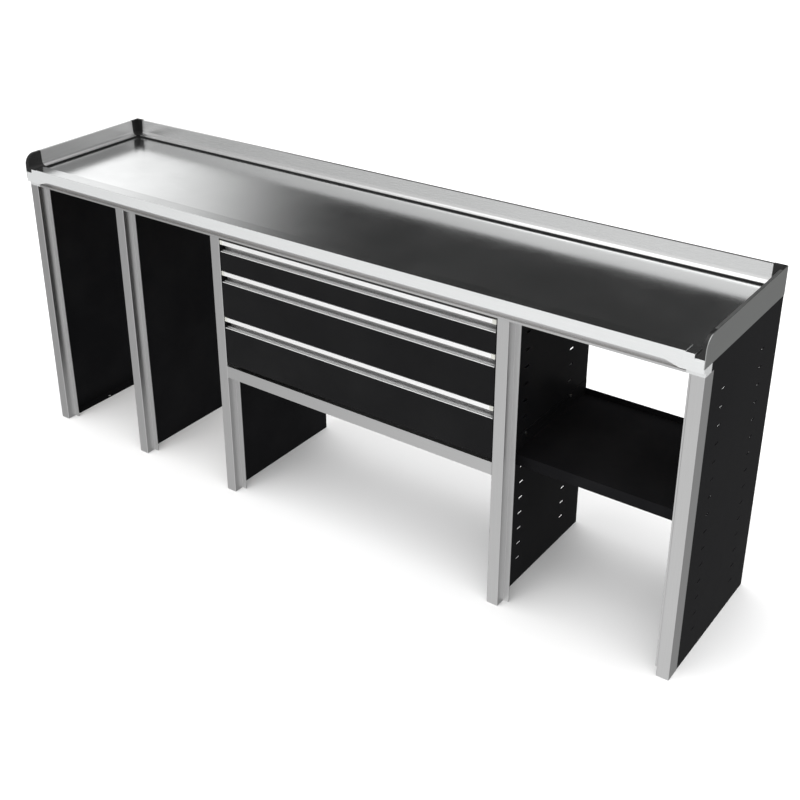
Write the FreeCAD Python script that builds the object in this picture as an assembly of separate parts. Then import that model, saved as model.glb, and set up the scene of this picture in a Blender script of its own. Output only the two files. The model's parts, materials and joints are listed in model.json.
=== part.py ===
import FreeCAD, Part
import math
import os

# Workbench with three drawers, built from folded steel panels and aluminium profiles.
# Working frame: x runs from the left end, y from the front face of the posts to the back,
# z from the floor, all in millimetres. save() moves every piece to the part's own frame,
# whose origin is the middle of the footprint on the floor.

# ---------- overall ----------
POST_WIDTH = 34.0
BAY_PITCHES = (394.0, 394.0, 960.0, 499.0)
LENGTH = sum(BAY_PITCHES) + POST_WIDTH
BODY_DEPTH = 482.0
OVERHANG = 10.0
RAIL_BOTTOM = 860.0
RAIL_TOP = 884.0
RIM_TOP = 918.0
WORKTOP_TOP = 907.0
UPSTAND_HEIGHT = 55.0
TOLERANCE = 1e-6
MIDDLE_X = LENGTH / 2.0
MIDDLE_Y = (BODY_DEPTH - OVERHANG) / 2.0

# ---------- front posts ----------
POST_DEPTH = 32.0
POST_WALL = 2.0
POST_FLANGE = 2.5
POST_EDGE_RADIUS = 1.5
FLANGE_REACH = 16.0
GROOVE_DEPTH = 10.0
GROOVE_RIB = 2.0
GROOVE_PLAY = 0.2
END_LEG_BACK = 49.0

# ---------- folded side panels ----------
SHEET = 2.0
PANEL_FRONT = POST_DEPTH + POST_FLANGE
END_PANEL_INSET = 1.0
END_FLANGE = 34.0
FLANGE_START = 50.0
SLOT_COLUMNS = (130.0, 377.0)
SLOT_LENGTH = 20.0
SLOT_HEIGHT = 5.5
END_SLOT_HEIGHT = 3.5
NO_SLOTS = 0.0
SLOT_FIRST = 78.0
SLOT_PITCH = 50.0
SLOT_COUNT = 15
FLOOR_HOLE_RADIUS = 4.5
FLOOR_HOLE_X = 26.0
FLOOR_HOLE_Y = 199.0

# ---------- rails under the worktop ----------
RAIL_DEPTH = 30.0
RAIL_WALL = 2.0
RAIL_LIP = 6.0
GROOVE_TOP_WALL = 5.0
RAIL_GROOVE_DEPTH = 8.0
KNEE_RAIL_BOTTOM = 409.0
KNEE_RAIL_TOP = 447.0
KNEE_RAIL_DEPTH = 25.0

# ---------- worktop ----------
PLATE = 2.0
SKIN = 1.5
EDGE_STRIP = 40.0
END_BLOCK = 26.0
SEAM_TOP_X = 48.0
SEAM_FOOT_X = 59.5
FACE_BOTTOM = 873.5
STEP_TOP = 916.5
BRACKET_REACH = 45.0
BRACKET_ROUND = 8.0
GUSSET_REACH = 94.0

# ---------- upstands ----------
GASKET_INNER = 20.0
GASKET_OUTER = 25.0
GASKET_HEIGHT = 5.0
GASKET_CHAMFER = 1.0
TOP_FLAT = 9.0
COVE_DEPTH = 11.0
COVE_RADIUS = 14.0
LIP = 1.0
UPSTAND_WALL = 1.5
CORNER_PROUD = 1.0
CORNER_REACH = 34.0
CAP_FRONT = -8.0
CAP_BACK = 48.0
SIDE_PLATE_RADIUS = 35.0

# ---------- shelf ----------
SHELF_TOP = 442.0
SHELF_FRONT = 80.0
SHELF_LIP = 32.0
SHELF_BACK_RISE = 19.0
SHELF_SIDE_RISE = 45.0
SHELF_SHEET = 1.5
SHELF_SCREW_Z = 478.0
SHELF_SCREWS_Y = (136.0, 384.0)
SCREW_RADIUS = 1.6
SCREW_HOLE_RADIUS = 1.8
SCREW_HEAD_RADIUS = 5.0
SCREW_HEAD = 2.5

# ---------- drawers: front bottom, handle top, box top, slide centre ----------
DRAWERS = {
    "top": (761.5, 854.5, 830.0, 799.0),
    "middle": (614.0, 758.5, 735.0, 678.0),
    "bottom": (458.0, 611.0, 588.0, 528.0),
}
FRONT_GAP = 2.5
FRONT_DEPTH = 24.0
FRONT_SHEET = 1.5
FRONT_SET_BACK = 1.0
HANDLE_HEIGHT = 36.0
HANDLE_LIP = 12.6
HANDLE_WALL = 2.0
HANDLE_CAP = 11.0
HANDLE_RIB = (9.0, 14.0)
BOX_FLOOR_RISE = 7.0
BOX_BACK = 460.0
BOX_SHEET = 1.5

# ---------- telescopic slides: offsets from the bracket's face, and half heights ----------
SLIDE_THICKNESS = 12.7
SLIDE_START = 38.0
SLIDE_LENGTH = 420.0
OUTER_MEMBER = {"sheet": 1.5, "arm_end": 8.0, "half_height": 22.5}
MIDDLE_MEMBER = {"start": 2.2, "sheet": 1.3, "arm_end": 9.5, "half_height": 19.0}
INNER_MEMBER = {"sheet": 1.5, "arm_end": 5.5, "half_height": 15.0}
BRACKET_SHEET = 1.5
BRACKET_HEIGHT = 40.0
BRACKET_ENDS = (60.0, 460.0)
BOX_PLAY = 0.3

POST_LEFTS = [sum(BAY_PITCHES[:count]) for count in range(len(BAY_PITCHES) + 1)]
LAST = len(POST_LEFTS) - 1
WEB_OFFSET = (POST_WIDTH - SHEET) / 2.0


# ---------- helpers ----------
def block(x0, x1, y0, y1, z0, z1):
    return Part.makeBox(x1 - x0, y1 - y0, z1 - z0, FreeCAD.Vector(x0, y0, z0))


def face_of(points, curve=()):
    """Face inside a closed outline; curve holds a start, a middle and an end point, joined by an arc."""
    vectors = [FreeCAD.Vector(*point) for point in points]
    arc = [FreeCAD.Vector(*point) for point in curve]
    edges = []
    for start, end in zip(vectors, vectors[1:] + vectors[:1]):
        if arc and start.isEqual(arc[0], TOLERANCE):
            edges.append(Part.Arc(*arc).toShape())
        else:
            edges.append(Part.LineSegment(start, end).toShape())
    return Part.Face(Part.Wire(edges))


def along_x(outline_yz, x0, x1, curve_yz=()):
    outline = [(x0, y, z) for y, z in outline_yz]
    curve = [(x0, y, z) for y, z in curve_yz]
    return face_of(outline, curve).extrude(FreeCAD.Vector(x1 - x0, 0, 0))


def along_y(outline_xz, y0, y1, curve_xz=()):
    outline = [(x, y0, z) for x, z in outline_xz]
    curve = [(x, y0, z) for x, z in curve_xz]
    return face_of(outline, curve).extrude(FreeCAD.Vector(0, y1 - y0, 0))


def fused(shapes):
    return shapes[0].multiFuse(shapes[1:]).removeSplitter()


def mirrored(shape, x_plane):
    return shape.mirror(FreeCAD.Vector(x_plane, 0, 0), FreeCAD.Vector(1, 0, 0))


def round_edges(shape, radius, wanted):
    edges = [edge for edge in shape.Edges if wanted(edge)]
    return shape.makeFillet(radius, edges)


def save(name, shape):
    placed = shape.copy()
    placed.translate(FreeCAD.Vector(-MIDDLE_X, -MIDDLE_Y, 0))
    placed.exportStep(os.path.join("parts", name + ".step"))


# ---------- frame ----------
def front_post(left, flange_left, flange_right, groove_x):
    """Hollow aluminium post with flanges at its back and a groove for the panel sheet."""
    right = left + POST_WIDTH
    outer = block(left, right, 0, PANEL_FRONT, 0, RAIL_BOTTOM)

    def front_corner(edge):
        ends = [vertex.Point for vertex in edge.Vertexes]
        return abs(ends[0].z - ends[1].z) > 1.0 and max(ends[0].y, ends[1].y) < 1.0

    outer = round_edges(outer, POST_EDGE_RADIUS, front_corner)
    core = block(left + POST_WALL, right - POST_WALL, POST_WALL, POST_DEPTH, 0, RAIL_BOTTOM)
    flange_start = left - FLANGE_REACH if flange_left else left
    flange_end = right + FLANGE_REACH if flange_right else right
    flanges = block(flange_start, flange_end, POST_DEPTH, PANEL_FRONT, 0, RAIL_BOTTOM)
    pieces = [outer.cut(core), flanges]
    groove_back = PANEL_FRONT + GROOVE_DEPTH
    rib_starts = (groove_x - GROOVE_PLAY - GROOVE_RIB, groove_x + SHEET + GROOVE_PLAY)
    for start in rib_starts:
        if start >= left and start + GROOVE_RIB <= right:
            pieces.append(block(start, start + GROOVE_RIB, PANEL_FRONT, groove_back, 0, RAIL_BOTTOM))
    if groove_x - GROOVE_RIB < left:
        pieces.append(block(left, groove_x, PANEL_FRONT, END_LEG_BACK, 0, RAIL_BOTTOM))
    return fused(pieces)


def slot_cutters(web_x, height):
    """Two columns of short slots that the shelf is screwed to."""
    cutters = []
    for y in SLOT_COLUMNS:
        for row in range(SLOT_COUNT):
            z = SLOT_FIRST + row * SLOT_PITCH
            cutters.append(block(web_x - SHEET, web_x + 2 * SHEET, y - SLOT_LENGTH / 2,
                                 y + SLOT_LENGTH / 2, z - height / 2, z + height / 2))
    return cutters


def side_panel(web_x, flange_edge, top, slot_height):
    """Steel sheet with its back, top and bottom edges folded over towards flange_edge."""
    low = min(web_x, flange_edge)
    high = max(web_x + SHEET, flange_edge)
    web = block(web_x, web_x + SHEET, PANEL_FRONT, BODY_DEPTH, 0, top)
    back = block(low, high, BODY_DEPTH - SHEET, BODY_DEPTH, 0, top)
    bottom = block(low, high, FLANGE_START, BODY_DEPTH, 0, SHEET)
    cap = block(low, high, FLANGE_START, BODY_DEPTH, RAIL_BOTTOM - SHEET, RAIL_BOTTOM)
    panel = fused([web, back, bottom, cap])
    return panel.cut(Part.makeCompound(slot_cutters(web_x, slot_height))) if slot_height else panel


def end_panel(slot_height):
    """Left-hand end panel with inward flanges, open at the back for the rear rail."""
    rail_space = block(END_PANEL_INSET + SHEET, LENGTH, BODY_DEPTH - SHEET, BODY_DEPTH, RAIL_BOTTOM, RAIL_TOP)
    flange_edge = END_PANEL_INSET + END_FLANGE
    floor_hole = Part.makeCylinder(FLOOR_HOLE_RADIUS, SHEET, FreeCAD.Vector(FLOOR_HOLE_X, FLOOR_HOLE_Y, 0))
    panel = side_panel(END_PANEL_INSET, flange_edge, RAIL_TOP, slot_height)
    return panel.cut(rail_space).cut(floor_hole)


def front_top_rail():
    """Grooved aluminium rail that joins the tops of the posts under the worktop."""
    x0 = BRACKET_REACH
    x1 = LENGTH - BRACKET_REACH
    rail = block(x0, x1, 0, RAIL_DEPTH, RAIL_BOTTOM, RAIL_TOP)
    groove = block(x0, x1, 0, RAIL_GROOVE_DEPTH, RAIL_BOTTOM + RAIL_LIP, RAIL_TOP - GROOVE_TOP_WALL)
    core = block(x0, x1, RAIL_GROOVE_DEPTH + RAIL_WALL, RAIL_DEPTH - RAIL_WALL,
                 RAIL_BOTTOM + RAIL_WALL, RAIL_TOP - RAIL_WALL)
    return rail.cut(groove).cut(core)


def hollow_rail(x0, x1, y0, y1, z0, z1):
    """Rectangular aluminium tube along x."""
    core = block(x0, x1, y0 + RAIL_WALL, y1 - RAIL_WALL, z0 + RAIL_WALL, z1 - RAIL_WALL)
    return block(x0, x1, y0, y1, z0, z1).cut(core)


# ---------- worktop ----------
def worktop_board():
    """Board that carries the steel sheet, notched at its front corners for the brackets."""
    top = WORKTOP_TOP - SKIN
    strip_back = EDGE_STRIP - OVERHANG
    board = block(PLATE, LENGTH - PLATE, SKIN - OVERHANG, BODY_DEPTH, RAIL_TOP, top)
    left_notch = block(0, SEAM_TOP_X, -OVERHANG, strip_back, RAIL_TOP, top)
    return board.cut(left_notch).cut(mirrored(left_notch, MIDDLE_X))


def worktop_sheet():
    """Stainless sheet over the board, set down behind the rim of the front edge profile."""
    return block(PLATE, LENGTH - PLATE, EDGE_STRIP - OVERHANG, BODY_DEPTH, WORKTOP_TOP - SKIN, WORKTOP_TOP)


def seam_x(z):
    """Distance from the bench's end to the slanted seam between edge profile and bracket."""
    return SEAM_FOOT_X + (SEAM_TOP_X - SEAM_FOOT_X) * (z - FACE_BOTTOM) / (RIM_TOP - FACE_BOTTOM)


def front_edge_profile():
    """Channel over the front edge that forms a raised rim, with a face cut at a slant at both ends."""
    front = -OVERHANG
    back = front + EDGE_STRIP
    left = SEAM_TOP_X
    right = LENGTH - SEAM_TOP_X
    left_half = [(MIDDLE_X, RIM_TOP), (SEAM_TOP_X, RIM_TOP), (SEAM_FOOT_X, FACE_BOTTOM),
                 (GUSSET_REACH, RAIL_TOP), (MIDDLE_X, RAIL_TOP)]
    web = along_y(left_half, front, front + SKIN)
    top = block(left, right, front, back, RIM_TOP - SKIN, RIM_TOP)
    leg = block(left, right, back - SKIN, back, WORKTOP_TOP - SKIN, RIM_TOP)
    return fused([web, mirrored(web, MIDDLE_X), top, leg])


def corner_bracket_left():
    """Cast bracket that ties the post, the front rail and the worktop's corner together."""
    front = -OVERHANG
    strip_back = EDGE_STRIP - OVERHANG
    skin_back = front + SKIN
    base = block(0, BRACKET_REACH, 0, PANEL_FRONT, RAIL_BOTTOM, RAIL_TOP)
    face = block(0, SEAM_TOP_X, skin_back, 0, FACE_BOTTOM, RAIL_TOP)
    skin = [(0, FACE_BOTTOM), (SEAM_FOOT_X, FACE_BOTTOM), (seam_x(STEP_TOP), STEP_TOP), (END_BLOCK, STEP_TOP),
            (END_BLOCK, RAIL_TOP), (0, RAIL_TOP)]
    tower = block(PLATE, END_BLOCK, front, strip_back, RAIL_TOP, WORKTOP_TOP)

    def top_front(edge):
        ends = [vertex.Point for vertex in edge.Vertexes]
        return min(ends[0].z, ends[1].z) > WORKTOP_TOP - 1.0 and max(ends[0].y, ends[1].y) < front + 1.0

    tower = round_edges(tower, BRACKET_ROUND, top_front)
    step = block(END_BLOCK, SEAM_TOP_X, skin_back, strip_back, RAIL_TOP, STEP_TOP)
    return fused([base, face, along_y(skin, front, skin_back), tower, step])


def round_plate_corner(shape):
    """Round the front top corner, seen from the side."""
    def front_top(edge):
        ends = [vertex.Point for vertex in edge.Vertexes]
        near_front = max(ends[0].y, ends[1].y) < 1.0 - OVERHANG
        high = min(ends[0].z, ends[1].z) > WORKTOP_TOP + UPSTAND_HEIGHT - 1.0
        return near_front and high

    return round_edges(shape, SIDE_PLATE_RADIUS, front_top)


def side_plate_left():
    """Plate that closes the end of the worktop and backs the side upstand."""
    return round_plate_corner(block(0, PLATE, -OVERHANG, BODY_DEPTH, RAIL_TOP, WORKTOP_TOP + UPSTAND_HEIGHT))


# ---------- upstands ----------
# A section is a list of points: distance inwards from the outer face, height above the worktop.
# Its lower half is a hollow cove: a quarter circle that ends in a thin lip over the gasket.
COVE_HEIGHT = GASKET_HEIGHT + LIP + COVE_RADIUS
COVE_MIDDLE = COVE_RADIUS * (1 - math.sqrt(0.5))
GASKET_OUTLINE = [(GASKET_INNER, 0), (GASKET_INNER, GASKET_HEIGHT),
                  (GASKET_OUTER - GASKET_CHAMFER, GASKET_HEIGHT),
                  (GASKET_OUTER, GASKET_HEIGHT - GASKET_CHAMFER), (GASKET_OUTER, 0)]


def cove(proud):
    """Start, middle and end of the cove, on a surface that stands proud of the profile's own."""
    top = (COVE_DEPTH + proud, COVE_HEIGHT + proud)
    foot = (COVE_DEPTH + COVE_RADIUS + proud, COVE_HEIGHT - COVE_RADIUS + proud)
    return [top, (top[0] + COVE_MIDDLE, foot[1] + COVE_MIDDLE), foot]


def upstand_outline():
    """Section of the aluminium profile, with the gasket's seat cut out of its foot."""
    top, _, foot = cove(0)
    return [(0, 0), (0, UPSTAND_HEIGHT), (TOP_FLAT, UPSTAND_HEIGHT), top, foot, (GASKET_OUTER, GASKET_HEIGHT),
            (GASKET_INNER, GASKET_HEIGHT), (GASKET_INNER, 0)]


def core_outline(outer_face):
    """Hollow of the upstand profile, whose outer wall starts at outer_face."""
    wall = UPSTAND_WALL
    start = outer_face + wall
    top, middle, _ = cove(-wall)
    inner = GASKET_INNER - wall
    roof = UPSTAND_HEIGHT - wall
    return [(start, wall), (start, roof), (TOP_FLAT - wall, roof), top, middle, (inner, GASKET_HEIGHT),
            (inner, wall)]


def cover_outline(proud):
    """Section of a moulded cover that stands proud of the upstand and its gasket."""
    top, _, foot = cove(proud)
    roof = UPSTAND_HEIGHT + proud
    return [(0, 0), (0, roof), (TOP_FLAT + proud, roof), top, foot, (foot[0], 0)]


def back_run(outline, x0, x1, curve=()):
    """Extrude an upstand section along the back of the worktop."""
    section = [(BODY_DEPTH - depth, WORKTOP_TOP + height) for depth, height in outline]
    bend = [(BODY_DEPTH - depth, WORKTOP_TOP + height) for depth, height in curve]
    return along_x(section, x0, x1, bend)


def left_run(outline, y0, y1, curve=()):
    """Extrude an upstand section along the left end, clear of the side plate."""
    section = [(depth, WORKTOP_TOP + height) for depth, height in outline]
    bend = [(depth, WORKTOP_TOP + height) for depth, height in curve]
    plate_space = block(0, PLATE, y0, y1, WORKTOP_TOP, WORKTOP_TOP + 2 * UPSTAND_HEIGHT)
    return along_y(section, y0, y1, bend).cut(plate_space)


def left_upstand():
    """Side run between the end cap and the corner cover."""
    ends = (CAP_BACK, BODY_DEPTH - CORNER_REACH)
    return left_run(upstand_outline(), *ends, cove(0)).cut(left_run(core_outline(PLATE), *ends))


def back_upstand():
    """Back run between the two corner covers."""
    ends = (CORNER_REACH, LENGTH - CORNER_REACH)
    return back_run(upstand_outline(), *ends, cove(0)).cut(back_run(core_outline(0), *ends))


def corner_cover():
    """Moulded cover over the joint of two runs, square cut at both ends."""
    section = cover_outline(CORNER_PROUD)
    curve = cove(CORNER_PROUD)
    side = left_run(section, BODY_DEPTH - CORNER_REACH, BODY_DEPTH, curve)
    return side.fuse(back_run(section, PLATE, CORNER_REACH, curve)).removeSplitter()


def end_cap():
    """Moulded cap over the front end of the side upstand, rounded like the side plate."""
    body = left_run(cover_outline(CORNER_PROUD), CAP_FRONT, CAP_BACK, cove(CORNER_PROUD))
    side_view = block(0, LENGTH, -OVERHANG, BODY_DEPTH, RAIL_TOP, WORKTOP_TOP + UPSTAND_HEIGHT)
    return body.common(round_plate_corner(side_view))


# ---------- shelf ----------
SHELF_LEFT = POST_LEFTS[LAST - 1] + WEB_OFFSET + SHEET
SHELF_RIGHT = LENGTH - END_PANEL_INSET - SHEET


def shelf_screw_places():
    """Outer end and inward direction of each screw's shank."""
    return [(FreeCAD.Vector(x, y, SHELF_SCREW_Z), FreeCAD.Vector(direction, 0, 0))
            for y in SHELF_SCREWS_Y
            for x, direction in ((SHELF_LEFT - SHEET, 1), (SHELF_RIGHT + SHEET, -1))]


def shelf():
    """Folded shelf with a front lip, a back rise and end flanges screwed to the panels."""
    back = BODY_DEPTH - SHEET
    sheet = SHELF_SHEET
    under = SHELF_TOP - sheet
    end_top = SHELF_TOP + SHELF_SIDE_RISE
    folded = fused([
        block(SHELF_LEFT, SHELF_RIGHT, SHELF_FRONT, back, under, SHELF_TOP),
        block(SHELF_LEFT, SHELF_RIGHT, SHELF_FRONT, SHELF_FRONT + sheet, SHELF_TOP - SHELF_LIP, SHELF_TOP),
        block(SHELF_LEFT, SHELF_RIGHT, back - sheet, back, under, SHELF_TOP + SHELF_BACK_RISE),
        block(SHELF_LEFT, SHELF_LEFT + sheet, SHELF_FRONT, back, under, end_top),
        block(SHELF_RIGHT - sheet, SHELF_RIGHT, SHELF_FRONT, back, under, end_top),
    ])
    length = SHEET + 2 * sheet
    holes = [Part.makeCylinder(SCREW_HOLE_RADIUS, length, place, direction)
             for place, direction in shelf_screw_places()]
    return folded.cut(Part.makeCompound(holes))


def shelf_screws():
    """Screws through the shelf's end flanges and the slots of the panels."""
    shank = SHEET + SHELF_SHEET
    screws = []
    for place, direction in shelf_screw_places():
        head_place = place + direction * shank
        body = Part.makeCylinder(SCREW_RADIUS, shank, place, direction)
        head = Part.makeCylinder(SCREW_HEAD_RADIUS, SCREW_HEAD, head_place, direction)
        screws.append(body.fuse(head))
    return Part.makeCompound(screws)


# ---------- drawers ----------
BAY_LEFT = POST_LEFTS[2] + POST_WIDTH
BAY_RIGHT = POST_LEFTS[3]
BAY_MIDDLE = (BAY_LEFT + BAY_RIGHT) / 2.0
FRONT_LEFT = BAY_LEFT + FRONT_GAP
FRONT_RIGHT = BAY_RIGHT - FRONT_GAP
BRACKET_FACE = BAY_LEFT + FLANGE_REACH
BOX_LEFT = BRACKET_FACE + SLIDE_THICKNESS + BOX_PLAY
BOX_RIGHT = 2 * BAY_MIDDLE - BOX_LEFT


def drawer_front(bottom, top):
    """Folded front tray; its sides run up to close the ends of the handle's recess."""
    seam = top - HANDLE_HEIGHT
    sheet = FRONT_SHEET
    face = block(FRONT_LEFT, FRONT_RIGHT, FRONT_SET_BACK, FRONT_SET_BACK + sheet, bottom, seam)
    bottom_fold = block(FRONT_LEFT, FRONT_RIGHT, FRONT_SET_BACK, FRONT_DEPTH, bottom, bottom + sheet)
    top_fold = block(FRONT_LEFT, FRONT_RIGHT, FRONT_SET_BACK, FRONT_DEPTH, seam - sheet, seam)
    left_fold = block(FRONT_LEFT, FRONT_LEFT + sheet, FRONT_SET_BACK, FRONT_DEPTH, bottom, seam)
    left_ear = block(FRONT_LEFT, FRONT_LEFT + sheet, 2 * sheet, FRONT_DEPTH, seam - sheet, top)
    left_side = left_fold.fuse(left_ear)
    right_side = mirrored(left_side, BAY_MIDDLE)
    return fused([face, bottom_fold, top_fold, left_side, right_side])


def handle_outline(top):
    """Section of the grip profile: a lip in front of a finger recess."""
    wall = HANDLE_WALL
    lip_bottom = top - HANDLE_LIP
    floor = top - HANDLE_HEIGHT
    back = FRONT_DEPTH
    lip = 2 * FRONT_SHEET
    rib_front, rib_back = HANDLE_RIB
    return [(0, top), (back, top), (back, floor), (FRONT_SET_BACK, floor), (FRONT_SET_BACK, floor + wall),
            (rib_front, floor + wall), (rib_front, floor + 2 * wall), (rib_back, floor + 2 * wall),
            (rib_back, floor + wall), (back - wall, floor + wall), (back - wall, top - wall),
            (lip, top - wall), (lip, lip_bottom), (0, lip_bottom)]


def drawer_handle(top):
    """Grip profile between the ears, with the ends of its lip cut away for the end caps."""
    x0 = FRONT_LEFT + FRONT_SHEET
    x1 = FRONT_RIGHT - FRONT_SHEET
    profile = along_x(handle_outline(top), x0, x1)
    left_cut = block(x0, FRONT_LEFT + HANDLE_CAP, 0, 2 * FRONT_SHEET, top - HANDLE_LIP, top)
    right_cut = mirrored(left_cut, BAY_MIDDLE)
    return profile.cut(left_cut).cut(right_cut)


def handle_caps(top):
    """Small caps that finish both ends of the lip."""
    left = block(FRONT_LEFT, FRONT_LEFT + HANDLE_CAP, 0, 2 * FRONT_SHEET, top - HANDLE_LIP, top)

    def outer_corner(edge):
        ends = [vertex.Point for vertex in edge.Vertexes]
        vertical = abs(ends[0].z - ends[1].z) > 1.0
        return vertical and max(ends[0].y, ends[1].y) < 0.5 and ends[0].x < FRONT_LEFT + 1.0

    left = round_edges(left, FRONT_SHEET, outer_corner)
    return Part.makeCompound([left, mirrored(left, BAY_MIDDLE)])


def drawer_box(bottom, top):
    """Folded drawer tray, open at the top."""
    sheet = BOX_SHEET
    outer = block(BOX_LEFT, BOX_RIGHT, FRONT_DEPTH, BOX_BACK, bottom, top)
    inside = block(BOX_LEFT + sheet, BOX_RIGHT - sheet, FRONT_DEPTH + sheet, BOX_BACK - sheet,
                   bottom + sheet, top)
    return outer.cut(inside)


def channel(x_base, thickness, x_open, half_height, y0, y1, z):
    """C-section slide member with its web at x_base and its arms reaching to x_open."""
    low = min(x_base, x_open)
    high = max(x_base + thickness, x_open)
    web = block(x_base, x_base + thickness, y0, y1, z - half_height, z + half_height)
    upper = block(low, high, y0, y1, z + half_height - thickness, z + half_height)
    lower = block(low, high, y0, y1, z - half_height, z - half_height + thickness)
    return fused([web, upper, lower])


def left_slide_members(z):
    """Fixed, intermediate and drawer members of one telescopic slide."""
    face = BRACKET_FACE
    y0 = SLIDE_START
    y1 = SLIDE_START + SLIDE_LENGTH
    outer_sheet = OUTER_MEMBER["sheet"]
    inner_sheet = INNER_MEMBER["sheet"]
    outer = channel(face, outer_sheet, face + OUTER_MEMBER["arm_end"], OUTER_MEMBER["half_height"], y0, y1, z)
    middle = channel(face + MIDDLE_MEMBER["start"], MIDDLE_MEMBER["sheet"], face + MIDDLE_MEMBER["arm_end"],
                     MIDDLE_MEMBER["half_height"], y0, y1, z)
    inner = channel(BOX_LEFT - inner_sheet, inner_sheet, face + INNER_MEMBER["arm_end"],
                    INNER_MEMBER["half_height"], y0, y1, z)
    return outer, middle, inner


def left_slide_bracket(z):
    """Channel that carries a slide clear of the post's flange."""
    web_face = POST_LEFTS[2] + WEB_OFFSET + SHEET
    y0, y1 = BRACKET_ENDS
    half = BRACKET_HEIGHT / 2
    return channel(BRACKET_FACE - BRACKET_SHEET, BRACKET_SHEET, web_face, half, y0, y1, z)


# ---------- build ----------
os.makedirs("parts", exist_ok=True)

save("end_panel_left", end_panel(NO_SLOTS))
save("end_panel_right", mirrored(end_panel(END_SLOT_HEIGHT), MIDDLE_X))
left_post = front_post(0, False, True, END_PANEL_INSET)
save("front_post_1", left_post)
save("front_post_5", mirrored(left_post, MIDDLE_X))
for number in range(1, LAST):
    post_left = POST_LEFTS[number]
    web_left = post_left + WEB_OFFSET
    save("front_post_%d" % (number + 1), front_post(post_left, True, True, web_left))
    slot_height = SLOT_HEIGHT if number == LAST - 1 else NO_SLOTS
    save("divider_panel_%d" % number, side_panel(web_left, post_left, RAIL_BOTTOM, slot_height))

rear_rail_start = END_PANEL_INSET + SHEET
save("front_top_rail", front_top_rail())
save("rear_top_rail", hollow_rail(rear_rail_start, LENGTH - rear_rail_start, BODY_DEPTH - RAIL_DEPTH,
                                  BODY_DEPTH, RAIL_BOTTOM, RAIL_TOP))
save("knee_rail", hollow_rail(BAY_LEFT, BAY_RIGHT, 0, KNEE_RAIL_DEPTH, KNEE_RAIL_BOTTOM, KNEE_RAIL_TOP))

save("worktop_board", worktop_board())
save("worktop_sheet", worktop_sheet())
save("front_edge_profile", front_edge_profile())

mirrored_pairs = {
    "corner_bracket": corner_bracket_left(),
    "side_plate": side_plate_left(),
    "side_upstand": left_upstand(),
    "side_gasket": left_run(GASKET_OUTLINE, CAP_BACK, BODY_DEPTH - CORNER_REACH),
    "upstand_corner": corner_cover(),
    "upstand_end_cap": end_cap(),
}
for name, left_shape in mirrored_pairs.items():
    save(name + "_left", left_shape)
    save(name + "_right", mirrored(left_shape, MIDDLE_X))
save("back_upstand", back_upstand())
save("back_gasket", back_run(GASKET_OUTLINE, CORNER_REACH, LENGTH - CORNER_REACH))

save("shelf", shelf())
save("shelf_screws", shelf_screws())

brackets = []
for level, (bottom, top, box_top, slide_z) in DRAWERS.items():
    box_bottom = bottom + BOX_FLOOR_RISE
    outer, middle, inner = left_slide_members(slide_z)
    brackets.append(left_slide_bracket(slide_z))
    save("drawer_front_" + level, drawer_front(bottom, top))
    save("drawer_handle_" + level, drawer_handle(top))
    save("handle_caps_" + level, handle_caps(top))
    save("drawer_box_" + level, drawer_box(box_bottom, box_top))
    save("slide_outer_left_" + level, outer)
    save("slide_outer_right_" + level, mirrored(outer, BAY_MIDDLE))
    save("slide_middles_" + level, Part.makeCompound([middle, mirrored(middle, BAY_MIDDLE)]))
    save("slide_inners_" + level, Part.makeCompound([inner, mirrored(inner, BAY_MIDDLE)]))

left_brackets = Part.makeCompound(brackets)
save("slide_brackets_left", left_brackets)
save("slide_brackets_right", mirrored(left_brackets, BAY_MIDDLE))
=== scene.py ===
import json
import math

import bpy
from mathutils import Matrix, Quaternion, Vector


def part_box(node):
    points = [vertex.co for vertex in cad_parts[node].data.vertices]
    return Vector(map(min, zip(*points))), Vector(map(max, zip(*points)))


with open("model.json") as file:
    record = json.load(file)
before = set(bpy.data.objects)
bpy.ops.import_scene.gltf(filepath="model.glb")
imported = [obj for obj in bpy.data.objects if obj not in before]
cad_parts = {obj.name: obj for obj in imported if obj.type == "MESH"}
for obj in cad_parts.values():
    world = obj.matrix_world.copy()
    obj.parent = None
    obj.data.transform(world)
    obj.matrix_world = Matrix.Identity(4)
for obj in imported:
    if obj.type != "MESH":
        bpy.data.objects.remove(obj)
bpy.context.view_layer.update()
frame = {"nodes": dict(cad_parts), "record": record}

record = frame["record"]
nodes = frame["nodes"]
slot_of = {part["node"]: part["material_slot"] for part in record["subparts"]}
MM = 0.001

# ---------- camera ----------
CAMERA_PLACE = (1.98588, -2.59315, 2.15158)
CAMERA_TURN = (0.803985, 0.502269, 0.175414, 0.265639)
CAMERA_LENS = 55.305
CAMERA_SHIFT = (0.0539, -0.0930)


def make_camera():
    data = bpy.data.cameras.new("camera")
    data.lens = CAMERA_LENS
    data.sensor_width = 36.0
    data.shift_x, data.shift_y = CAMERA_SHIFT
    camera = bpy.data.objects.new("camera", data)
    camera.rotation_mode = "QUATERNION"
    camera.location = CAMERA_PLACE
    camera.rotation_quaternion = Quaternion(CAMERA_TURN)
    bpy.context.collection.objects.link(camera)
    bpy.context.scene.camera = camera


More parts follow.
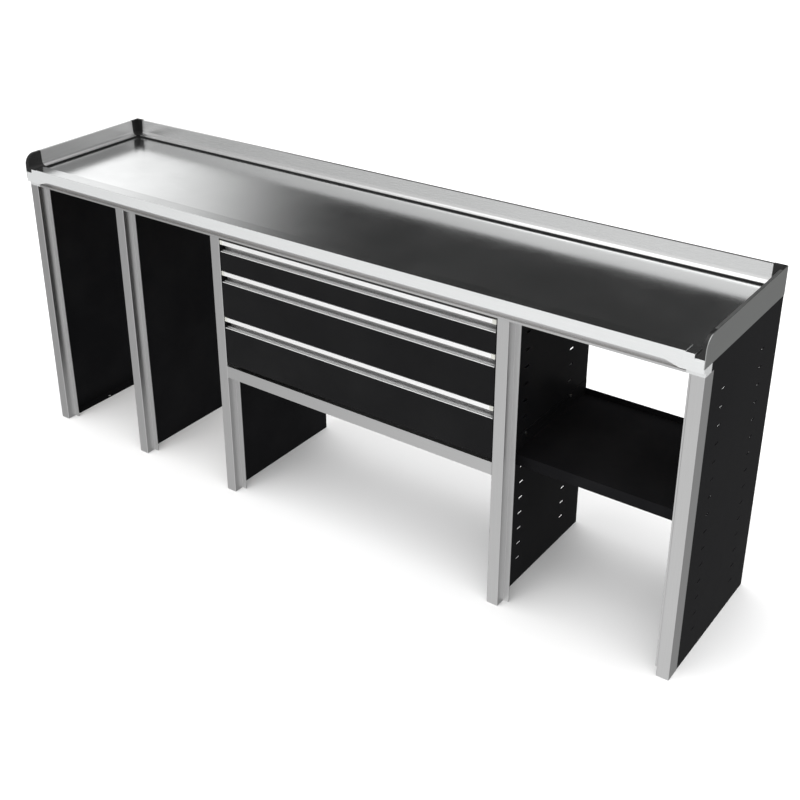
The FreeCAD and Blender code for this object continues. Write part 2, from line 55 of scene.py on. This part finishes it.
# ---------- node graphs ----------
class Graph:
    """A short way to write a node tree: add() makes a node, sets its values and links its inputs."""

    def __init__(self, tree):
        self.tree = tree
        self.tree.nodes.clear()

    def add(self, kind, inputs=None, **settings):
        node = self.tree.nodes.new("ShaderNode" + kind)
        for key, value in settings.items():
            setattr(node, key, value)
        for key, value in (inputs or {}).items():
            socket = node.inputs[key]
            if isinstance(value, bpy.types.NodeSocket):
                self.tree.links.new(value, socket)
            else:
                socket.default_value = value
        return node

    def math(self, operation, a, b):
        return self.add("Math", {0: a, 1: b}, operation=operation).outputs[0]

    def ramp(self, value, start, end, low=0.0, high=1.0, smooth=False):
        kind = "SMOOTHSTEP" if smooth else "LINEAR"
        node = self.add("MapRange", {"Value": value, "From Min": start, "From Max": end,
                                     "To Min": low, "To Max": high}, interpolation_type=kind)
        return node.outputs["Result"]

    def mix(self, factor, first, second):
        node = self.add("Mix", {0: factor, 6: first, 7: second}, data_type="RGBA")
        return node.outputs[2]

    def noise(self, scale, stretch=(1, 1, 1), detail=3.0, rough=0.55):
        place = self.add("TexCoord").outputs["Object"]
        mapped = self.add("Mapping", {"Vector": place, "Scale": stretch}).outputs["Vector"]
        return self.add("TexNoise", {"Vector": mapped, "Scale": scale, "Detail": detail,
                                     "Roughness": rough}).outputs["Fac"]

    def edges(self, radius):
        """1 along outer edges, 0 on flat faces."""
        rounded = self.add("Bevel", {"Radius": radius}, samples=4).outputs["Normal"]
        flat = self.add("NewGeometry").outputs["Normal"]
        facing = self.add("VectorMath", {0: rounded, 1: flat}, operation="DOT_PRODUCT").outputs["Value"]
        return self.ramp(facing, 0.995, 0.90)

    def bump(self, height, distance, strength):
        inputs = {"Height": height, "Distance": distance, "Strength": strength}
        return self.add("Bump", inputs).outputs["Normal"]


def rgba(red, green=None, blue=None):
    return (red, red if green is None else green, red if blue is None else blue, 1.0)


def new_material(name):
    material = bpy.data.materials.new(name)
    material.use_nodes = True
    return material, Graph(material.node_tree)


def output(graph, shader):
    graph.add("OutputMaterial", {"Surface": shader.outputs[0]})


# ---------- materials ----------
LONG_GRAIN = {"x": (1, 220, 220), "y": (220, 1, 220), "z": (220, 220, 1)}
# Painted shade in hollows: how far the occlusion looks, and the near-black tone it paints there.
HOLLOW_SHADE_REACH = 30 * MM
HOLLOW_SHADE_TONE = 0.02
MOULD_GRAIN = 0.5 * MM


def extruded_aluminium(name, base, rough, grain, tint=(1.0, 1.0, 1.0), contrast=1.0, metal=1.0,
                       hollow_shade=1.0):
    """Satin anodised extrusion with die lines along its length, slightly worn edges and painted shade darkening
    its hollows.
    """
    material, g = new_material(name)
    lines = g.noise(9.0, LONG_GRAIN[grain], detail=4.0)
    cloud = g.noise(3.5, detail=2.0)
    worn = g.edges(0.9 * MM)
    dark = rgba(*(base * (1.0 - 0.06 * contrast) * part for part in tint))
    light = rgba(*(base * (1.0 + 0.05 * contrast) * part for part in tint))
    streaks = g.mix(g.ramp(lines, 0.3, 0.7), dark, light)
    clouded = g.mix(g.ramp(cloud, 0.35, 0.65, 0.0, 0.35 * contrast), streaks, rgba(base * 0.92))
    colour = g.mix(g.math("MULTIPLY", worn, 0.5), clouded, rgba(min(base * 1.25, 0.95)))
    # Painted shade: colour is pulled towards a near-black tone where ambient occlusion finds a hollow, such as
    # the handle recess.
    if hollow_shade < 1.0:
        open_sky = g.add("AmbientOcclusion", {"Distance": HOLLOW_SHADE_REACH}, samples=8).outputs["AO"]
        colour = g.mix(g.ramp(open_sky, 0.35, 0.9, hollow_shade, 1.0), rgba(HOLLOW_SHADE_TONE), colour)
    roughness = g.math("ADD", g.ramp(lines, 0.2, 0.8, rough * 0.85, rough * 1.15),
                       g.math("MULTIPLY", worn, -0.25 * rough))
    normal = g.bump(lines, 0.05 * MM, 0.25 * contrast)
    shader = g.add("BsdfPrincipled", {"Base Color": colour, "Metallic": metal, "Roughness": roughness,
                                      "Normal": normal})
    output(g, shader)
    return material


def edge_aluminium(name):
    """Front rim: its top is ground like the worktop, and its brushed face has a pale lacquer."""
    material, g = new_material(name)
    brush = g.noise(11.0, (1, 260, 260), detail=5.0, rough=0.6)
    smudge = g.noise(5.0, detail=5.0, rough=0.62)
    worn = g.edges(0.8 * MM)
    upward = g.add("SeparateXYZ", {"Vector": g.add("NewGeometry").outputs["Normal"]}).outputs["Z"]
    ground = g.ramp(upward, 0.4, 0.8)
    colour = g.mix(g.ramp(brush, 0.3, 0.7), rgba(0.69, 0.70, 0.70), rgba(0.75, 0.76, 0.76))
    colour = g.mix(g.math("MULTIPLY", worn, 0.4), colour, rgba(0.95))
    satin = g.ramp(smudge, 0.3, 0.7, 0.38, 0.44)
    smooth = g.ramp(smudge, 0.3, 0.7, 0.17, 0.23)
    roughness = g.math("ADD", g.math("MULTIPLY", g.math("SUBTRACT", 1.0, ground), satin),
                       g.math("MULTIPLY", ground, smooth))
    normal = g.bump(brush, 0.02 * MM, 0.06)
    shader = g.add("BsdfPrincipled", {"Base Color": colour, "Metallic": g.ramp(ground, 0.0, 1.0, 0.5, 1.0),
                                      "Roughness": roughness, "Normal": normal})
    output(g, shader)
    return material


def black_powder_coat(name, base, rough, gloss):
    """Semi-gloss black paint with a little orange peel, dust and polished edges."""
    material, g = new_material(name)
    peel = g.noise(420.0, detail=2.0)
    cloud = g.noise(4.0, detail=5.0, rough=0.6)
    worn = g.edges(0.7 * MM)
    clean = rgba(base, base, base * 1.1)
    dust = rgba(base * 1.5, base * 1.5, base * 1.6)
    dusty = g.mix(g.ramp(cloud, 0.4, 0.7), clean, dust)
    colour = g.mix(g.math("MULTIPLY", worn, 0.35), dusty, rgba(base * 4.5))
    roughness = g.math("ADD", g.ramp(cloud, 0.3, 0.7, rough * 0.85, rough * 1.2),
                       g.ramp(peel, 0.3, 0.7, -0.02, 0.02))
    normal = g.bump(peel, 0.03 * MM, 0.07)
    shader = g.add("BsdfPrincipled", {"Base Color": colour, "Roughness": roughness, "Normal": normal,
                                      "Specular IOR Level": gloss})
    output(g, shader)
    return material


def polished_stainless(name):
    """Fine-ground sheet: long faint brush lines, hairline scratches and smudges."""
    material, g = new_material(name)
    brush = g.noise(11.0, (1, 260, 260), detail=5.0, rough=0.6)
    smudge = g.noise(5.0, detail=5.0, rough=0.62)
    scratches = g.noise(60.0, (1.0, 9.0, 9.0), detail=6.0, rough=0.75)
    hairline = g.ramp(scratches, 0.66, 0.72)
    colour = g.mix(g.ramp(brush, 0.3, 0.7), rgba(0.80, 0.81, 0.81), rgba(0.90, 0.91, 0.91))
    colour = g.mix(g.math("MULTIPLY", hairline, 0.25), colour, rgba(0.95))
    roughness = g.math("ADD", g.ramp(smudge, 0.3, 0.7, 0.15, 0.21), g.ramp(brush, 0.2, 0.8, -0.015, 0.015))
    normal = g.bump(brush, 0.02 * MM, 0.06)
    shader = g.add("BsdfPrincipled", {"Base Color": colour, "Metallic": 1.0, "Roughness": roughness,
                                      "Normal": normal})
    output(g, shader)
    return material


def moulded(name, colour, rough):
    """Moulded plastic or rubber with a fine grain and paler rubbed edges."""
    material, g = new_material(name)
    grain = g.noise(1.0 / MOULD_GRAIN, detail=2.0)
    cloud = g.noise(25.0, detail=3.0)
    worn = g.edges(1.0 * MM)
    paler = rgba(*(min(part * 2.2 + 0.01, 1.0) for part in colour))
    darker = rgba(*(part * 0.8 for part in colour))
    mottled = g.mix(g.ramp(cloud, 0.35, 0.65), darker, rgba(*colour))
    shade = g.mix(g.math("MULTIPLY", worn, 0.4), mottled, paler)
    roughness = g.ramp(grain, 0.3, 0.7, rough * 0.9, min(rough * 1.1, 1.0))
    normal = g.bump(grain, 0.05 * MM, 0.2)
    shader = g.add("BsdfPrincipled", {"Base Color": shade, "Roughness": roughness, "Normal": normal})
    output(g, shader)
    return material


def zinc_plate(name):
    """Zinc-plated steel with a faint spangle and drawing lines."""
    material, g = new_material(name)
    place = g.add("TexCoord").outputs["Object"]
    spangle = g.add("TexVoronoi", {"Vector": place, "Scale": 160.0}).outputs["Color"]
    grey = g.add("RGBToBW", {"Color": spangle}).outputs[0]
    lines = g.noise(9.0, LONG_GRAIN["y"], detail=4.0)
    worn = g.edges(0.5 * MM)
    colour = g.mix(g.ramp(grey, 0.2, 0.8), rgba(0.56, 0.57, 0.55), rgba(0.66, 0.67, 0.66))
    colour = g.mix(g.math("MULTIPLY", worn, 0.4), colour, rgba(0.82))
    roughness = g.ramp(lines, 0.2, 0.8, 0.26, 0.36)
    normal = g.bump(lines, 0.04 * MM, 0.2)
    shader = g.add("BsdfPrincipled", {"Base Color": colour, "Metallic": 1.0, "Roughness": roughness,
                                      "Normal": normal})
    output(g, shader)
    return material


def pressed_board(name):
    """Wood-chip board: flat chips of mixed tone under a thin sealer."""
    material, g = new_material(name)
    place = g.add("TexCoord").outputs["Object"]
    mapped = g.add("Mapping", {"Vector": place, "Scale": (1.0, 1.6, 3.0)}).outputs["Vector"]
    chips = g.add("TexVoronoi", {"Vector": mapped, "Scale": 240.0}).outputs["Color"]
    tone = g.add("RGBToBW", {"Color": chips}).outputs[0]
    fibre = g.noise(300.0, (1, 6, 6), detail=4.0)
    colour = g.mix(g.ramp(tone, 0.15, 0.85), rgba(0.22, 0.13, 0.06), rgba(0.52, 0.37, 0.20))
    colour = g.mix(g.ramp(fibre, 0.4, 0.7, 0.0, 0.4), colour, rgba(0.34, 0.22, 0.11))
    normal = g.bump(tone, 0.15 * MM, 0.35)
    shader = g.add("BsdfPrincipled", {"Base Color": colour, "Roughness": g.ramp(tone, 0, 1, 0.65, 0.85),
                                      "Normal": normal})
    output(g, shader)
    return material


def grain_axis(node):
    """Extrusions run along their longest side."""
    low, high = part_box(node)
    size = high - low
    return "xyz"[max(range(3), key=lambda axis: size[axis])]


GRIP = "drawer_handle"
BRIGHT = "back_upstand"
EDGE = ("front_edge_profile", "corner_bracket")
EXTRUSIONS = {
    "aluminium": {"base": 0.68, "rough": 0.34},
    "bright": {"base": 0.90, "rough": 0.26, "contrast": 0.35},
    # The grip paints shade into its handle recess, darkest in the deepest part.
    "grip": {"base": 0.94, "rough": 0.30, "contrast": 0.35, "metal": 0.6, "hollow_shade": 0.25},
    "end_plate": {"base": 0.50, "rough": 0.36, "tint": (0.97, 1.0, 0.98)},
}


def plain_finishes():
    """Finishes that are the same whichever way the part runs."""
    return {
        "black_panel": black_powder_coat("black_panel", 0.0075, 0.34, 0.012),
        "black_front": black_powder_coat("black_front", 0.0050, 0.32, 0.10),
        "black_tray": black_powder_coat("black_tray", 0.010, 0.42, 0.30),
        "stainless": polished_stainless("stainless"),
        "board": pressed_board("board"),
        "edge": edge_aluminium("edge"),
        "black_plastic": moulded("black_plastic", (0.008, 0.008, 0.008), 0.42),
        "gasket": moulded("gasket", (0.003, 0.003, 0.003), 0.5),
        "grey_plastic": moulded("grey_plastic", (0.50, 0.50, 0.46), 0.4),
        "zinc": zinc_plate("zinc"),
    }


def family_of(node):
    """A node's finish: that of its slot, except on the brighter aluminium parts."""
    if node.startswith(EDGE):
        return "edge"
    if node.startswith(GRIP):
        return "grip"
    if node.startswith(BRIGHT):
        return "bright"
    return slot_of[node]


def finish_of(node, made):
    """The node's material. An extrusion's is made when the first part that runs its way needs it."""
    family = family_of(node)
    if family not in EXTRUSIONS:
        return made[family]
    axis = grain_axis(node)
    name = family + "_" + axis
    if name not in made:
        made[name] = extruded_aluminium(name, grain=axis, **EXTRUSIONS[family])
    return made[name]


# ---------- CAD nodes ----------
EDGE_RADIUS = {"black_plastic": 2.2 * MM, "board": 0.6 * MM, "gasket": 1.0 * MM, "stainless": 0.25 * MM}
THIN_EDGE = 0.35 * MM


def soften(piece, radius):
    """Join the split corners of the imported mesh and round its edges."""
    weld = piece.modifiers.new("weld", "WELD")
    weld.merge_threshold = 0.002 * MM
    bevel = piece.modifiers.new("edge_radius", "BEVEL")
    bevel.width = radius
    bevel.segments = 2
    bevel.limit_method = "ANGLE"
    bevel.angle_limit = math.radians(38)
    normals = piece.modifiers.new("normals", "WEIGHTED_NORMAL")
    normals.weight = 100
    for face in piece.data.polygons:
        face.use_smooth = True


def dress_cad_nodes():
    made = plain_finishes()
    for name, piece in nodes.items():
        finish = finish_of(name, made)
        for slot in piece.material_slots:
            slot.material = finish
        soften(piece, EDGE_RADIUS.get(slot_of[name], THIN_EDGE))


# ---------- studio ----------
FILL = 1.35  # even light that matt surfaces receive from all round
FRONT_LEFT, FRONT_RIGHT = 0.25, 0.82
BEHIND = 0.30
FLAG_TONE = 0.11
OVERHEAD = 1.08
LEFT_BOX = 0.95
FLOOR_HALF = 25.0


def lobe(graph, direction, towards, start, end):
    """1 inside a soft-edged round patch of sky around a direction, 0 outside it."""
    unit = tuple(Vector(towards).normalized())
    facing = graph.add("VectorMath", {0: direction, 1: unit}, operation="DOT_PRODUCT").outputs["Value"]
    return graph.ramp(facing, start, end, smooth=True)


def make_world():
    """Studio seen in reflections: pale overhead, a soft box to the back left, a dark flag behind.

    Matt surfaces receive an even fill instead, and the backdrop itself is white.
    """
    world = bpy.data.worlds.new("studio")
    world.use_nodes = True
    bpy.context.scene.world = world
    g = Graph(world.node_tree)
    direction = g.add("TexCoord").outputs["Generated"]
    across = g.add("SeparateXYZ", {"Vector": direction})
    side = g.ramp(across.outputs["X"], -0.85, -0.35, FRONT_LEFT, FRONT_RIGHT)
    in_front = g.ramp(across.outputs["Y"], 0.05, -0.35, smooth=True)
    level = g.math("MULTIPLY", side, in_front)
    behind = g.math("SUBTRACT", 1.0, in_front)
    level = g.math("ADD", level, g.math("MULTIPLY", behind, BEHIND))
    flag = lobe(g, direction, (-0.40, 0.83, 0.39), 0.915, 0.965)
    level = g.math("MULTIPLY", level, g.ramp(flag, 0.0, 1.0, 1.0, FLAG_TONE))
    above = lobe(g, direction, (0, 0, 1), 0.73, 0.92)
    level = g.math("ADD", level, g.math("MULTIPLY", above, OVERHEAD))
    left_box = lobe(g, direction, (-0.82, 0.52, 0.24), 0.945, 0.99)
    level = g.math("ADD", level, g.math("MULTIPLY", left_box, LEFT_BOX))
    path = g.add("LightPath")
    lit = g.mix(path.outputs["Is Diffuse Ray"], level, rgba(FILL))
    shown = g.mix(path.outputs["Is Camera Ray"], lit, rgba(1.0))
    background = g.add("Background", {"Color": shown, "Strength": 1.0})
    g.add("OutputWorld", {"Surface": background.outputs[0]})


def make_floor():
    material, g = new_material("floor")
    cloud = g.noise(0.8, detail=3.0)
    colour = g.mix(g.ramp(cloud, 0.3, 0.7), rgba(0.88), rgba(0.90))
    output(g, g.add("BsdfPrincipled", {"Base Color": colour, "Roughness": 0.9, "Specular IOR Level": 0.0}))
    half = FLOOR_HALF
    mesh = bpy.data.meshes.new("floor")
    mesh.from_pydata([(-half, -half, 0), (half, -half, 0), (half, half, 0), (-half, half, 0)], [], [(0, 1, 2, 3)])
    mesh.materials.append(material)
    floor = bpy.data.objects.new("floor", mesh)
    bpy.context.collection.objects.link(floor)
    floor.visible_glossy = False


def soft_light(name, place, target, size, watts):
    data = bpy.data.lights.new(name, "AREA")
    data.shape = "DISK"
    data.size = size
    data.energy = watts
    light = bpy.data.objects.new(name, data)
    light.location = place
    aim = Vector(target) - Vector(place)
    light.rotation_mode = "QUATERNION"
    light.rotation_quaternion = aim.to_track_quat("-Z", "Y")
    light.visible_glossy = False
    bpy.context.collection.objects.link(light)


def make_lights():
    soft_light("overhead", (0.0, -1.0, 6.0), (0, 0, 0), 7.0, 190.0)
    soft_light("front_fill", (-1.5, -6.0, 3.5), (0, 0, 0.4), 4.0, 40.0)


bpy.context.scene.view_settings.view_transform = "Standard"
make_camera()
make_world()
make_floor()
make_lights()
dress_cad_nodes()
